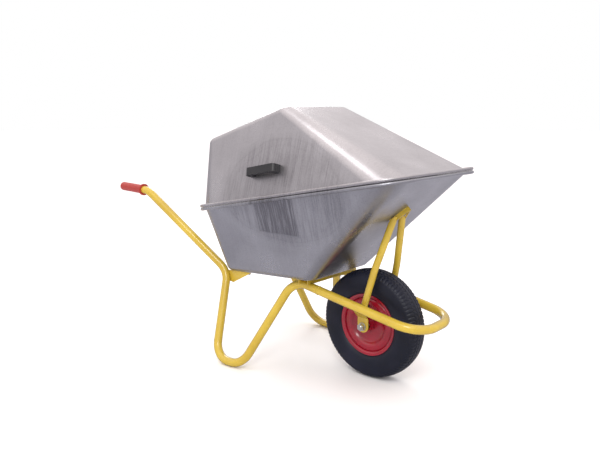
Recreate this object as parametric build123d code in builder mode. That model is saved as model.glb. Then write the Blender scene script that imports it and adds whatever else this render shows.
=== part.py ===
from build123d import *
import math
import os

# Feed wheelbarrow: a pressed galvanised tray on a bent tube frame with one pneumatic
# wheel, covered by a second pressing of the same shape that hinges as a lid.
# Millimetres. +X points forward, +Y to the barrow's left, +Z up. The ground is Z = 0.
# The origin is on the ground, halfway along the barrow's overall length.

# ---------------------------------------------------------------- driving dimensions
AXLE_X = 414.5            # the wheel's axle, ahead of the origin
WHEEL_R = 200.0           # 4.00-8 tyre, outside radius
TYRE_HALF_W = 50.0
RIM_LIP_R = 114.0
BEAD_SEAT_R = 101.6       # 8 inch bead seat

TUBE_R = 16.0             # 32 mm frame tube
TUBE_WALL = 1.5
BRACE_R = 12.5            # 25 mm brace tube
PLATE = 4.0               # welded brackets
SHEET = 1.2               # tray and lid

TILT = 10.5               # the rim plane rises towards the front
RIM_REAR_X = AXLE_X - 662.0
RIM_REAR_Z = 577.3
RIM_LEN = 928.0           # wall to wall, without the rolled edge
RIM_HALF_W = 272.0
RIM_CORNER_R = 99.0
BEAD_R = 6.0              # rolled edge
BEAD_OUT = 14.0           # from the wall to the middle of the rolled edge
FLANGE_H = 7.9            # top of the tray's flange above the rim plane
PARTING_H = 8.2           # the lid mirrors the tray about this height
FLOOR_LEN = 442.0
FLOOR_HALF_W = 187.0
FLOOR_CORNER_R = 44.0
FLOOR_U = 22.0            # rear edge of the floor, along the rim from its rear
REAR_DEPTH = 253.0
FRONT_DEPTH = 306.0
FLOOR_FILLET = 24.0

BOLT_R = 4.0              # M8 coach bolts
HOLE_R = 4.3
AXLE_R = 8.0              # M16 axle bolt
AXLE_HOLE_R = 8.05

HINGE_V = 298.0           # hinge axis, out from the middle of the rim
HINGE_U = (210.0, 720.0)  # the two hinges, along the rim
HINGE_W = 60.0
PIN_R = 2.5
KNUCKLE_R = 5.0
KNUCKLE_GAP = 0.3
MIDDLE_KNUCKLE = HINGE_W / 3
LEAF_T = 2.5
LEAF_FOOT = -52.0         # lower edge of the leaf, from the rim plane
LEAF_SHELF = -10.5        # where the leaf turns under the rolled edge
LEAF_IN = HINGE_V - KNUCKLE_R
RIVET_H = -34.0
RIVET_OUT = 20.0          # rivets either side of a hinge's middle
RIVET_R = 2.4
RIVET_SLACK = 0.05
WALL_GAP = 0.25           # fittings stand this far off the pressed wall

WASHER_T = 1.6
M8_NUT_AF = 13.0
M8_NUT_H = 6.5
M16_AF = 24.0
NUT_SIDE = 2 / math.sqrt(3)

GUSSET_Y = -172.0         # inner face of the right rear gusset
CROSS_W = 46.0            # front cross member
CROSS_H = 23.0
CROSS_HALF_LEN = 148.0
BRACKET_DEPTH = 16.0      # fold of the bracket on the tray's front
HANGER_IN = 62.0          # inner face of the axle hanger
HANGER_OUT = HANGER_IN + PLATE
HANGER_HALF_W = 22.0
WASHER_OUT = HANGER_OUT + 3.0

GRIP_R = 18.0
GRIP_LEN = 152.0
GRIP_CAP = 8.0
GRIP_GUARD_R = 24.0

HANDLE_U = 386.0          # lid handle's middle, along the rim
HANDLE_H = -87.0          # and from the rim plane before it is mirrored up
HANDLE_LEN = 142.0
HANDLE_W = 28.0
HANDLE_DEPTH = 36.0
HANDLE_BAR = 13.0
HANDLE_LEG = 24.0
SCREW_R = 3.0
SCREW_GAP = HANDLE_LEN - HANDLE_LEG

RIM_T = 2.0               # wheel rim and discs
LIP_Y = 40.0
TREAD_Y = 46.0
BEAD_TOP_R = 116.0
BEAD_TOP_Y = 38.5
HUB_R = 26.0
HUB_HALF = 50.0
BEARING_R = 20.0          # 40 mm ball bearings, 12 mm wide
BEARING_W = 12.0
BALL_R = 3.2
BALL_PITCH_R = 14.2
BALL_Y = HUB_HALF - BEARING_W / 2
BALLS = 7
INNER_RING_R = 12.3
SPACER_R = 12.0
VALVE_R = 4.0
VALVE_LEN = 62.0

# ---------------------------------------------------------------- places


def ahead(x, y, z):
    """A point given from the foot of the axle."""
    return Vector(AXLE_X + x, y, z)


COS = math.cos(math.radians(TILT))
SIN = math.sin(math.radians(TILT))
RIM = Plane(origin=(RIM_REAR_X, 0, RIM_REAR_Z), x_dir=(COS, 0, SIN), z_dir=(-SIN, 0, COS))


def on_rim(u, v, h):
    """A point given along, across and above the rim plane."""
    return RIM.from_local_coords(Vector(u, v, h))


FLOOR_REAR = on_rim(FLOOR_U, 0, -REAR_DEPTH)
FLOOR_FRONT = on_rim(FLOOR_U + FLOOR_LEN, 0, -FRONT_DEPTH)
FLOOR_DIR = (FLOOR_FRONT - FLOOR_REAR).normalized()
FLOOR = Plane(origin=FLOOR_REAR, x_dir=FLOOR_DIR, z_dir=FLOOR_DIR.cross(Vector(0, 1, 0)))
RIM_FRONT = on_rim(RIM_LEN, 0, FLANGE_H)
FRONT_UP = (RIM_FRONT - FLOOR_FRONT).normalized()
PARTING = RIM.offset(PARTING_H)

# right-hand corners of the bent tubes; the left side mirrors them
GRIP_END = ahead(-1100, -302, 645)
GRIP_BEND = ahead(-929, -300, 639)
REAR_BEND = ahead(-594, -171, 326)
LEG_REAR = ahead(-530, -299, TUBE_R)
LEG_FRONT = ahead(-392, -293, TUBE_R)
TOP_BEND = ahead(-271, -129, 338)
HOOP_CORNER = ahead(263, -118, 245)
RAIL_DIR = (HOOP_CORNER - TOP_BEND).normalized()
RAIL_JOINT = TOP_BEND + RAIL_DIR * 120
BRACE_TOP = ahead(97, -25, 606)
BRACE_BEND = ahead(50, -72, 415)
BRACE_FOOT = ahead(13, -88, 259)

SIDE_ROUTE = [GRIP_END, GRIP_BEND, REAR_BEND, LEG_REAR, LEG_FRONT, TOP_BEND, RAIL_JOINT]
SIDE_RADII = [60, 90, 78, 78, 75]


def mirrored(point):
    """The same point on the other side."""
    return Vector(point.X, -point.Y, point.Z)


HOOP_ROUTE = [RAIL_JOINT, HOOP_CORNER, mirrored(HOOP_CORNER), mirrored(RAIL_JOINT)]
HOOP_RADII = [95, 95]
BRACE_ROUTE = [BRACE_TOP, BRACE_BEND, BRACE_FOOT]
BRACE_RADII = [150]

# bolt seats on the tray's inner skin; z points to the head, inside the tray
FLOOR_BOLTS = [Vector(x, side * y, 0) for x, y in ((104, 150), (384, 110)) for side in (-1, 1)]
BOLT_SEATS = [Plane(origin=FLOOR.offset(SHEET).from_local_coords(p), z_dir=FLOOR.z_dir)
              for p in FLOOR_BOLTS]
FRONT_OUT = FRONT_UP.cross(Vector(0, 1, 0)) * -1
FRONT_FACE_MID = FLOOR_FRONT + FRONT_UP * 366
FRONT_FACE = Plane(origin=FRONT_FACE_MID, x_dir=(0, 1, 0), z_dir=FRONT_OUT)
FRONT_SEAT = Plane(origin=FRONT_FACE_MID - FRONT_OUT * SHEET, z_dir=FRONT_OUT * -1)
BOLT_SEATS.append(FRONT_SEAT)
CROSS_U = FLOOR_BOLTS[2].X
AXLE = ahead(0, 0, WHEEL_R)

os.makedirs("parts", exist_ok=True)


def save(piece, label):
    """Label a finished sub-part and write it."""
    piece.part.label = label
    export_step(piece.part, f"parts/{label}.step")


def mirror_to_left(right, label):
    """Write the left-hand copy of a right-hand sub-part."""
    with BuildPart() as left:
        mirror(right.part, about=Plane.XZ)
    save(left, label)
    return left


def stud(radius, length, mode=Mode.ADD):
    """Pin that stands on the seat it is placed at."""
    Cylinder(radius, length, align=(Align.CENTER, Align.CENTER, Align.MIN), mode=mode)


def hung_stud(radius, length):
    """Pin that hangs below the seat it is placed at."""
    Cylinder(radius, length, align=(Align.CENTER, Align.CENTER, Align.MAX))


def bent_tube(route, radii, outer_r, wall):
    """Tube along straight runs joined by tangent arcs; wall 0 gives a solid rod."""
    with BuildPart() as tube:
        with BuildLine() as path:
            FilletPolyline(*route, radius=radii)
        with BuildSketch(Plane(origin=path.line @ 0, z_dir=path.line % 0)):
            Circle(outer_r)
            if wall:
                Circle(outer_r - wall, mode=Mode.SUBTRACT)
        sweep()
    return tube


# ---------------------------------------------------------------- tube frame

side_tube_right = bent_tube(SIDE_ROUTE, SIDE_RADII, TUBE_R, TUBE_WALL)
save(side_tube_right, "side_tube_right")
side_tube_left = mirror_to_left(side_tube_right, "side_tube_left")

nose_hoop = bent_tube(HOOP_ROUTE, HOOP_RADII, TUBE_R, TUBE_WALL)
save(nose_hoop, "nose_hoop")

# solid rods with the tubes' outside, for coping the parts welded to them
side_rod = bent_tube(SIDE_ROUTE, SIDE_RADII, TUBE_R, 0)
hoop_rod = bent_tube(HOOP_ROUTE, HOOP_RADII, TUBE_R, 0)


def mitred_brace(wall):
    """Brace whose top end is cut to stand on the bracket's plate."""
    bent = bent_tube(BRACE_ROUTE, BRACE_RADII, BRACE_R, wall)
    with BuildPart() as brace:
        add(bent.part)
        split(bisect_by=FRONT_FACE.offset(PLATE), keep=Keep.TOP)
    return brace


brace_right = mitred_brace(TUBE_WALL)
save(brace_right, "brace_right")
brace_left = mirror_to_left(brace_right, "brace_left")
brace_rod = mitred_brace(0)

# rear gusset: a triangle inside the bend and an ear bolted under the floor
ear_seat = FLOOR.from_local_coords(FLOOR_BOLTS[0])
with BuildPart() as rear_gusset_right:
    with BuildSketch(Plane.XZ.offset(-GUSSET_Y - PLATE)):
        with BuildLine():
            Polyline(
                (AXLE_X - 600, 331.7),
                (AXLE_X - 462, 340.9),
                (AXLE_X - 470, 334.0),
                (AXLE_X - 560, 286.0),
                (AXLE_X - 590, 290.0),
                close=True,
            )
        make_face()
    extrude(amount=PLATE)
    with BuildSketch(FLOOR.offset(-PLATE)):
        with Locations((FLOOR_BOLTS[0].X, GUSSET_Y + 24)):
            RectangleRounded(44, 48, 6)
    extrude(amount=PLATE)
    add(side_rod.part, mode=Mode.SUBTRACT)
    with Locations(Plane(origin=ear_seat, z_dir=FLOOR.z_dir)):
        Cylinder(HOLE_R, 4 * PLATE, mode=Mode.SUBTRACT)
save(rear_gusset_right, "rear_gusset_right")
mirror_to_left(rear_gusset_right, "rear_gusset_left")

# front cross member: a channel, open below, coped over both rails
with BuildPart() as front_cross_member:
    with BuildSketch(FLOOR.offset(-CROSS_H)):
        with Locations((CROSS_U, 0)):
            Rectangle(CROSS_W, 2 * CROSS_HALF_LEN)
    extrude(amount=CROSS_H)
    with BuildSketch(FLOOR.offset(-CROSS_H)):
        with Locations((CROSS_U, 0)):
            Rectangle(CROSS_W - 2 * PLATE, 2 * CROSS_HALF_LEN)
    extrude(amount=CROSS_H - PLATE, mode=Mode.SUBTRACT)
    add(side_rod.part, mode=Mode.SUBTRACT)
    add(hoop_rod.part, mode=Mode.SUBTRACT)
    mirror(side_rod.part, about=Plane.XZ, mode=Mode.SUBTRACT)
    for seat in BOLT_SEATS[2:4]:
        with Locations(seat):
            Cylinder(HOLE_R, 20, mode=Mode.SUBTRACT)
save(front_cross_member, "front_cross_member")

# bracket on the tray's front: a triangular plate with a folded gable above the bolt
with BuildPart() as brace_bracket:
    with BuildSketch(FRONT_FACE):
        Polygon((-42, -40), (42, -40), (0, 36), align=None)
        fillet(vertices(), 4)
    extrude(amount=BRACKET_DEPTH)
    with BuildSketch(FRONT_FACE.offset(PLATE)):
        Polygon((-39.6, -44), (39.6, -44), (0, 27.7), align=None)
    extrude(amount=BRACKET_DEPTH, mode=Mode.SUBTRACT)
    add(brace_rod.part, mode=Mode.SUBTRACT)
    mirror(brace_rod.part, about=Plane.XZ, mode=Mode.SUBTRACT)
    with Locations(FRONT_SEAT):
        Cylinder(HOLE_R, 40, mode=Mode.SUBTRACT)
save(brace_bracket, "brace_bracket")

# axle hanger: a cranked plate from the rail down to the axle
with BuildPart() as axle_hanger_right:
    with BuildSketch(Plane.YZ.offset(AXLE.X - HANGER_HALF_W)):
        with BuildLine():
            Polyline(
                (-HANGER_IN, 176),
                (-HANGER_OUT, 176),
                (-HANGER_OUT, 232),
                (-104, 272),
                (-104, 296),
                (-100, 296),
                (-100, 269),
                (-HANGER_IN, 229),
                close=True,
            )
        make_face()
    extrude(amount=2 * HANGER_HALF_W)
    with BuildSketch(Plane.XZ.offset(HANGER_IN - 2)) as tongue:
        with Locations((AXLE.X, AXLE.Z)):
            Circle(HANGER_HALF_W)
        with Locations((AXLE.X, AXLE.Z + 55)):
            Rectangle(2 * HANGER_HALF_W, 110)
    extrude(amount=60, mode=Mode.INTERSECT)
    add(hoop_rod.part, mode=Mode.SUBTRACT)
    add(brace_rod.part, mode=Mode.SUBTRACT)
    with Locations(Plane(origin=ahead(0, -HANGER_IN, WHEEL_R), z_dir=(0, 1, 0))):
        Cylinder(AXLE_HOLE_R, 20, mode=Mode.SUBTRACT)
save(axle_hanger_right, "axle_hanger_right")
mirror_to_left(axle_hanger_right, "axle_hanger_left")

# rubber grip: sleeve with a closed domed end and an inner guard flange
GRIP_AXIS = (GRIP_BEND - GRIP_END).normalized()
GRIP_TIP = GRIP_END - GRIP_AXIS * GRIP_CAP
GRIP_SIDE = Vector(0, 0, 1).cross(GRIP_AXIS).normalized()
with BuildPart() as grip_right:
    with BuildSketch(Plane(origin=GRIP_TIP, x_dir=GRIP_SIDE, z_dir=GRIP_SIDE.cross(GRIP_AXIS))):
        with BuildLine():
            Line((0, 0), (0, GRIP_LEN))
            Line((0, GRIP_LEN), (GRIP_GUARD_R, GRIP_LEN))
            Line((GRIP_GUARD_R, GRIP_LEN), (GRIP_GUARD_R, GRIP_LEN - 6))
            Line((GRIP_GUARD_R, GRIP_LEN - 6), (GRIP_R, GRIP_LEN - 10))
            Line((GRIP_R, GRIP_LEN - 10), (GRIP_R, 9))
            RadiusArc((GRIP_R, 9), (9, 0), 9)
            Line((9, 0), (0, 0))
        make_face()
    revolve(axis=Axis(GRIP_TIP, GRIP_AXIS))
    with BuildSketch(Plane(origin=GRIP_END, z_dir=GRIP_AXIS)):
        Circle(TUBE_R)
    extrude(amount=GRIP_LEN, mode=Mode.SUBTRACT)
save(grip_right, "grip_right")
mirror_to_left(grip_right, "grip_left")

# ---------------------------------------------------------------- tray and lid

WALL_RISE = FLANGE_H + (REAR_DEPTH + FRONT_DEPTH) / 2
SIDE_SLOPE = (RIM_HALF_W - FLOOR_HALF_W) / WALL_RISE
FRONT_SLOPE = (RIM_LEN - FLOOR_U - FLOOR_LEN) / (FRONT_DEPTH + FLANGE_H)
REAR_SLOPE = FLOOR_U / (REAR_DEPTH + FLANGE_H)
SHEET_SPAN = (FLOOR_FRONT - FLOOR_REAR).length


def bowl(inset):
    """The pressing's solid form, with every wall moved inwards by the inset."""
    side = inset * math.hypot(1, SIDE_SLOPE)
    front = inset * math.hypot(1, FRONT_SLOPE)
    rear = inset * math.hypot(1, REAR_SLOPE)
    floor_side = side - inset * SIDE_SLOPE
    floor_front = front - inset * FRONT_SLOPE
    floor_rear = rear - inset * REAR_SLOPE
    floor_len = SHEET_SPAN - floor_rear - floor_front
    floor_width = 2 * (FLOOR_HALF_W - floor_side)
    rim_len = RIM_LEN - rear - front
    rim_width = 2 * (RIM_HALF_W - side)
    with BuildPart() as form:
        with BuildSketch(FLOOR.offset(inset)):
            with Locations(((SHEET_SPAN + floor_rear - floor_front) / 2, 0)):
                RectangleRounded(floor_len, floor_width, FLOOR_CORNER_R - floor_side)
        with BuildSketch(RIM.offset(FLANGE_H)):
            with Locations(((RIM_LEN + rear - front) / 2, 0)):
                RectangleRounded(rim_len, rim_width, RIM_CORNER_R - side)
        loft(ruled=True)
        fillet(form.faces().sort_by(Axis.Z)[0].edges(), FLOOR_FILLET - inset)
    return form


def bead_outline():
    """The middle line of the rolled edge, seen from above."""
    width = 2 * (RIM_HALF_W + BEAD_OUT)
    return RectangleRounded(RIM_LEN + 2 * BEAD_OUT, width, RIM_CORNER_R + BEAD_OUT)


outer_form = bowl(0)
inner_form = bowl(SHEET)

with BuildSketch(RIM.offset(FLANGE_H - BEAD_R)) as bead_line:
    with Locations((RIM_LEN / 2, 0)):
        bead_outline()
bead_path = bead_line.sketch.face().outer_wire()
bead_start = bead_path @ 0
bead_along = bead_path % 0
bead_outward = RIM.z_dir.cross(bead_along) * -1
if bead_outward.dot(bead_start - on_rim(RIM_LEN / 2, 0, 0)) < 0:
    bead_outward = bead_outward * -1
curl_up = 1 if bead_along.cross(bead_outward).dot(RIM.z_dir) > 0 else -1

with BuildPart() as pressing:
    add(outer_form.part)
    with BuildSketch(RIM.offset(FLANGE_H - SHEET)):
        with Locations((RIM_LEN / 2, 0)):
            bead_outline()
    extrude(amount=SHEET)
    add(inner_form.part, mode=Mode.SUBTRACT)
    with BuildSketch(Plane(origin=bead_start, x_dir=bead_outward, z_dir=bead_along)):
        Circle(BEAD_R)
        Circle(BEAD_R - SHEET, mode=Mode.SUBTRACT)
        with Locations((-BEAD_R / 2, -curl_up * BEAD_R / 2)):
            Rectangle(BEAD_R, BEAD_R, mode=Mode.SUBTRACT)
    sweep(path=bead_path)


def wall_seat(u, h, side):
    """Plane on the tray's outside wall, on one side; z points outwards."""
    line = Axis(on_rim(u, 0, h), (0, side, 0))
    hits = outer_form.part.find_intersection_points(line)
    point, normal = max(hits, key=lambda hit: side * hit[0].Y)
    if normal.Y * side < 0:
        normal = normal * -1
    return Plane(origin=point, x_dir=RIM.x_dir - normal * RIM.x_dir.dot(normal), z_dir=normal)


RIVET_SEATS = [wall_seat(u + offset, RIVET_H, 1) for u in HINGE_U
               for offset in (-RIVET_OUT, RIVET_OUT)]

with BuildPart() as rivet_holes:
    for seat in RIVET_SEATS:
        with Locations(seat):
            Cylinder(RIVET_R, 12)

with BuildPart() as tray:
    add(pressing.part)
    for seat in BOLT_SEATS:
        with Locations(seat):
            Cylinder(HOLE_R, 12, mode=Mode.SUBTRACT)
    add(rivet_holes.part, mode=Mode.SUBTRACT)
save(tray, "tray")

# lid handle: a bow on the lid's right wall, held by two screws from inside
handle_wall = wall_seat(HANDLE_U, HANDLE_H, -1)
lid_wall_out = handle_wall.z_dir - RIM.z_dir * 2 * handle_wall.z_dir.dot(RIM.z_dir)
lid_wall_u = handle_wall.x_dir - RIM.z_dir * 2 * handle_wall.x_dir.dot(RIM.z_dir)
handle_foot = handle_wall.origin + RIM.z_dir * 2 * (PARTING_H - HANDLE_H)
HANDLE = Plane(origin=handle_foot + lid_wall_out * WALL_GAP, x_dir=lid_wall_u, z_dir=lid_wall_out)
SCREW_DEPTH = -SHEET - 2 * WALL_GAP
SCREW_FEET = [HANDLE.from_local_coords(Vector(side * SCREW_GAP / 2, 0, SCREW_DEPTH))
              for side in (-1, 1)]
SCREW_SEATS = [Plane(origin=foot, z_dir=lid_wall_out) for foot in SCREW_FEET]

with BuildPart() as lid:
    mirror(pressing.part, about=PARTING)
    mirror(rivet_holes.part, about=PARTING, mode=Mode.SUBTRACT)
    for seat in SCREW_SEATS:
        with Locations(seat):
            Cylinder(SCREW_R + 0.3, 10, mode=Mode.SUBTRACT)
save(lid, "lid")

with BuildPart() as lid_handle:
    with BuildSketch(Plane(origin=HANDLE.origin, x_dir=HANDLE.x_dir, z_dir=HANDLE.y_dir * -1)) as bow:
        with Locations((0, HANDLE_DEPTH / 2)):
            Rectangle(HANDLE_LEN, HANDLE_DEPTH)
        fillet(bow.vertices().group_by(Axis.Y)[-1], 14)
        with Locations((0, (HANDLE_DEPTH - HANDLE_BAR) / 2)):
            Rectangle(HANDLE_LEN - 2 * HANDLE_LEG, HANDLE_DEPTH - HANDLE_BAR, mode=Mode.SUBTRACT)
    extrude(amount=HANDLE_W / 2, both=True)
    for seat in SCREW_SEATS:
        with Locations(seat):
            stud(SCREW_R + 0.05, 16, mode=Mode.SUBTRACT)
save(lid_handle, "lid_handle")

with BuildPart() as lid_handle_screws:
    for seat in SCREW_SEATS:
        with Locations(seat):
            stud(SCREW_R, 15)
        with Locations(seat.offset(-WALL_GAP)):
            stud(SCREW_R, 1)
            hung_stud(6, 3)
save(lid_handle_screws, "lid_handle_screws")

# ---------------------------------------------------------------- lid hinges


def hinge_leaf(u):
    """Tray-side leaf round the rolled edge, with a full-width knuckle."""
    middle = Plane(origin=on_rim(u - HINGE_W / 2, 0, 0), x_dir=(0, 1, 0), z_dir=RIM.x_dir)
    shelf_v = wall_seat(u, LEAF_SHELF, 1).origin.Y + WALL_GAP
    foot_v = wall_seat(u, LEAF_FOOT, 1).origin.Y + WALL_GAP
    with BuildPart() as leaf:
        with BuildSketch(middle):
            with BuildLine():
                Polyline(
                    (LEAF_IN, PARTING_H),
                    (LEAF_IN, LEAF_SHELF),
                    (shelf_v, LEAF_SHELF),
                    (foot_v, LEAF_FOOT),
                    (foot_v + LEAF_T, LEAF_FOOT),
                    (shelf_v + LEAF_T, LEAF_SHELF - LEAF_T),
                    (LEAF_IN + LEAF_T, LEAF_SHELF - LEAF_T),
                    (LEAF_IN + LEAF_T, PARTING_H),
                    close=True,
                )
            make_face()
            with Locations((HINGE_V, PARTING_H)):
                Circle(KNUCKLE_R)
        extrude(amount=HINGE_W)
    return leaf


def hinge_axis(u):
    """The pin's place at one hinge, z along the pin."""
    return Plane(origin=on_rim(u, HINGE_V, PARTING_H), z_dir=RIM.x_dir)


LEAVES = [hinge_leaf(u) for u in HINGE_U]

with BuildPart() as hinge_tray_leaves:
    for u, leaf in zip(HINGE_U, LEAVES):
        add(leaf.part)
        with Locations(hinge_axis(u)):
            Cylinder(PIN_R + 0.02, 2 * HINGE_W, mode=Mode.SUBTRACT)
            Cylinder(KNUCKLE_R + 0.8, MIDDLE_KNUCKLE + 2 * KNUCKLE_GAP, mode=Mode.SUBTRACT)
    add(rivet_holes.part, mode=Mode.SUBTRACT)
save(hinge_tray_leaves, "hinge_tray_leaves")

with BuildPart() as hinge_lid_leaves:
    for u, leaf in zip(HINGE_U, LEAVES):
        mirror(leaf.part, about=PARTING)
        with Locations(hinge_axis(u)):
            Cylinder(PIN_R + 0.05, 2 * HINGE_W, mode=Mode.SUBTRACT)
        for side in (-1, 1):
            end = (HINGE_W + MIDDLE_KNUCKLE) / 4 * side
            with Locations(hinge_axis(u + end)):
                Cylinder(KNUCKLE_R + 0.8, (HINGE_W - MIDDLE_KNUCKLE) / 2 + 0.2, mode=Mode.SUBTRACT)
    mirror(rivet_holes.part, about=PARTING, mode=Mode.SUBTRACT)
save(hinge_lid_leaves, "hinge_lid_leaves")

with BuildPart() as hinge_pins:
    for u in HINGE_U:
        with Locations(hinge_axis(u)):
            Cylinder(PIN_R, HINGE_W + 4)
        for side in (-1, 1):
            with Locations(hinge_axis(u + side * (HINGE_W / 2 + 1.5))):
                Cylinder(PIN_R + 1.5, 2.4)
save(hinge_pins, "hinge_pins")

with BuildPart() as hinge_tray_rivets:
    for seat in RIVET_SEATS:
        with Locations(seat):
            Cylinder(RIVET_R - RIVET_SLACK, 2 * LEAF_T + 2)
        with Locations(seat.offset(LEAF_T + 3 * WALL_GAP)):
            stud(RIVET_R + 2, 1.6)
        with Locations(seat.offset(-SHEET - WALL_GAP)):
            hung_stud(RIVET_R + 2, 1.4)
save(hinge_tray_rivets, "hinge_tray_rivets")

with BuildPart() as hinge_lid_rivets:
    mirror(hinge_tray_rivets.part, about=PARTING)
save(hinge_lid_rivets, "hinge_lid_rivets")

# ---------------------------------------------------------------- tray fasteners

with BuildPart() as tray_bolts:
    for seat in BOLT_SEATS:
        shank = SHEET + PLATE + WASHER_T + M8_NUT_H + 4
        with Locations(seat):
            hung_stud(BOLT_R, shank)
            stud(9, 2)
        with Locations(seat.offset(2)):
            Cone(9, 4, 2.5, align=(Align.CENTER, Align.CENTER, Align.MIN))
save(tray_bolts, "tray_bolts")

with BuildPart() as tray_washers:
    for seat in BOLT_SEATS:
        with BuildSketch(seat.offset(-SHEET - PLATE)):
            Circle(8.5)
            Circle(HOLE_R, mode=Mode.SUBTRACT)
        extrude(amount=-WASHER_T)
save(tray_washers, "tray_washers")

with BuildPart() as tray_nuts:
    for seat in BOLT_SEATS:
        with BuildSketch(seat.offset(-SHEET - PLATE - WASHER_T)):
            RegularPolygon(M8_NUT_AF / 2 * NUT_SIDE, 6)
            Circle(BOLT_R, mode=Mode.SUBTRACT)
        extrude(amount=-M8_NUT_H)
save(tray_nuts, "tray_nuts")

# ---------------------------------------------------------------- wheel

AXLE_LINE = Axis(AXLE, (0, 1, 0))
SPIN = Plane(origin=AXLE, x_dir=(0, 0, 1), z_dir=(-1, 0, 0))

# the rim flange's face under the tyre, from the seat out to the lip
FLANGE_FACE = [(BEAD_SEAT_R, 31.5), (103.2, 35), (107, 37.3), (RIM_LIP_R, 38.2)]
FLANGE_FACE_RIGHT = [(r, -y) for r, y in FLANGE_FACE]
FLANGE_BACK = [(RIM_LIP_R, LIP_Y), (106.2, 39.3), (101.4, 36.4), (BEAD_SEAT_R - RIM_T, 32)]

with BuildPart() as tyre:
    with BuildSketch(SPIN):
        with BuildLine():
            Polyline((BEAD_SEAT_R, -25), *FLANGE_FACE_RIGHT, (BEAD_TOP_R, -BEAD_TOP_Y))
            Spline(
                (BEAD_TOP_R, -BEAD_TOP_Y),
                (120, -43.5),
                (130, -TYRE_HALF_W + 2),
                (150, -TYRE_HALF_W),
                (180, -TREAD_Y),
                (193, -35),
                (WHEEL_R, 0),
                (193, 35),
                (180, TREAD_Y),
                (150, TYRE_HALF_W),
                (130, TYRE_HALF_W - 2),
                (120, 43.5),
                (BEAD_TOP_R, BEAD_TOP_Y),
            )
            Polyline((BEAD_TOP_R, BEAD_TOP_Y), *FLANGE_FACE[::-1], (BEAD_SEAT_R, 25))
            Line((BEAD_SEAT_R, 25), (107, 25))
            Spline(
                (107, 25),
                (116, 31),
                (130, 40),
                (150, 43),
                (177, 38),
                (186, 28),
                (191, 0),
                (186, -28),
                (177, -38),
                (150, -43),
                (130, -40),
                (116, -31),
                (107, -25),
            )
            Line((107, -25), (BEAD_SEAT_R, -25))
        make_face()
    revolve(axis=AXLE_LINE)
save(tyre, "tyre")

with BuildPart() as inner_tube:
    with BuildSketch(SPIN):
        with Locations((146, 0)):
            Ellipse(41, 37)
            Ellipse(39, 35, mode=Mode.SUBTRACT)
    revolve(axis=AXLE_LINE)
save(inner_tube, "inner_tube")

# the valve leans out of the rim's well and through the right disc's slope
VALVE_FOOT = SPIN.from_local_coords(Vector(100.5, 2.75, 0))
VALVE_TIP = SPIN.from_local_coords(Vector(60.5, -41.25, 0))
VALVE = Plane(origin=VALVE_FOOT, z_dir=VALVE_TIP - VALVE_FOOT)

with BuildPart() as rim_barrel:
    with BuildSketch(SPIN) as section:
        Polygon(
            (94, 12),
            (94, -12),
            (BEAD_SEAT_R, -16),
            *FLANGE_FACE_RIGHT,
            *[(r, -y) for r, y in FLANGE_BACK],
            (BEAD_SEAT_R - RIM_T, -17.2),
            (94 - RIM_T, -13.2),
            (94 - RIM_T, 13.2),
            (BEAD_SEAT_R - RIM_T, 17.2),
            *FLANGE_BACK[::-1],
            *FLANGE_FACE[::-1],
            (BEAD_SEAT_R, 16),
            align=None,
        )
    revolve(axis=AXLE_LINE)
    with Locations(VALVE):
        Cylinder(VALVE_R + 0.3, VALVE_LEN, mode=Mode.SUBTRACT)
save(rim_barrel, "rim_barrel")

with BuildPart() as disc_blank:
    with BuildSketch(SPIN):
        with BuildLine():
            Spline(
                (BEAD_SEAT_R - RIM_T, -31),
                (95, -34.6),
                (88, -36.6),
                (80, -37.3),
                (72, -33),
                (65, -27),
                (55, -24),
                (40, -23.5),
                (HUB_R, -24),
            )
            Line((HUB_R, -24), (HUB_R, -22))
            Spline(
                (HUB_R, -22),
                (40, -21.5),
                (55.5, -22),
                (66.4, -25.6),
                (73.3, -31.5),
                (80.3, -35.3),
                (87.4, -34.6),
                (94, -32.8),
                (BEAD_SEAT_R - RIM_T, -28.6),
            )
            Line((BEAD_SEAT_R - RIM_T, -28.6), (BEAD_SEAT_R - RIM_T, -31))
        make_face()
    revolve(axis=AXLE_LINE)

with BuildPart() as wheel_disc_right:
    add(disc_blank.part)
    with Locations(VALVE.offset(VALVE_LEN * 0.7)):
        Cylinder(VALVE_R + 1.5, 24, mode=Mode.SUBTRACT)
save(wheel_disc_right, "wheel_disc_right")

with BuildPart() as wheel_disc_left:
    mirror(disc_blank.part, about=Plane.XZ)
save(wheel_disc_left, "wheel_disc_left")

with BuildPart() as valve_stem:
    with Locations(VALVE):
        stud(VALVE_R, VALVE_LEN - 9)
        stud(VALVE_R - 1.5, VALVE_LEN - 3)
        stud(1, VALVE_LEN - 3, mode=Mode.SUBTRACT)
save(valve_stem, "valve_stem")

with BuildPart() as valve_cap:
    with Locations(VALVE.offset(VALVE_LEN - 9)):
        stud(VALVE_R - 0.3, 10)
        stud(VALVE_R - 1.5, 6, mode=Mode.SUBTRACT)
save(valve_cap, "valve_cap")


def ring(inner_r, outer_r, y_in, y_out):
    """One ring about the axle, in the sketch of a radial section."""
    with Locations(((inner_r + outer_r) / 2, (y_in + y_out) / 2)):
        Rectangle(outer_r - inner_r, abs(y_out - y_in))


with BuildPart() as hub_tube:
    with BuildSketch(SPIN):
        Polygon(
            (HUB_R, -HUB_HALF),
            (BEARING_R, -HUB_HALF),
            (BEARING_R, -HUB_HALF + BEARING_W),
            (BEARING_R - 2, -HUB_HALF + BEARING_W),
            (BEARING_R - 2, HUB_HALF - BEARING_W),
            (BEARING_R, HUB_HALF - BEARING_W),
            (BEARING_R, HUB_HALF),
            (HUB_R, HUB_HALF),
            align=None,
        )
    revolve(axis=AXLE_LINE)
save(hub_tube, "hub_tube")

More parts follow.
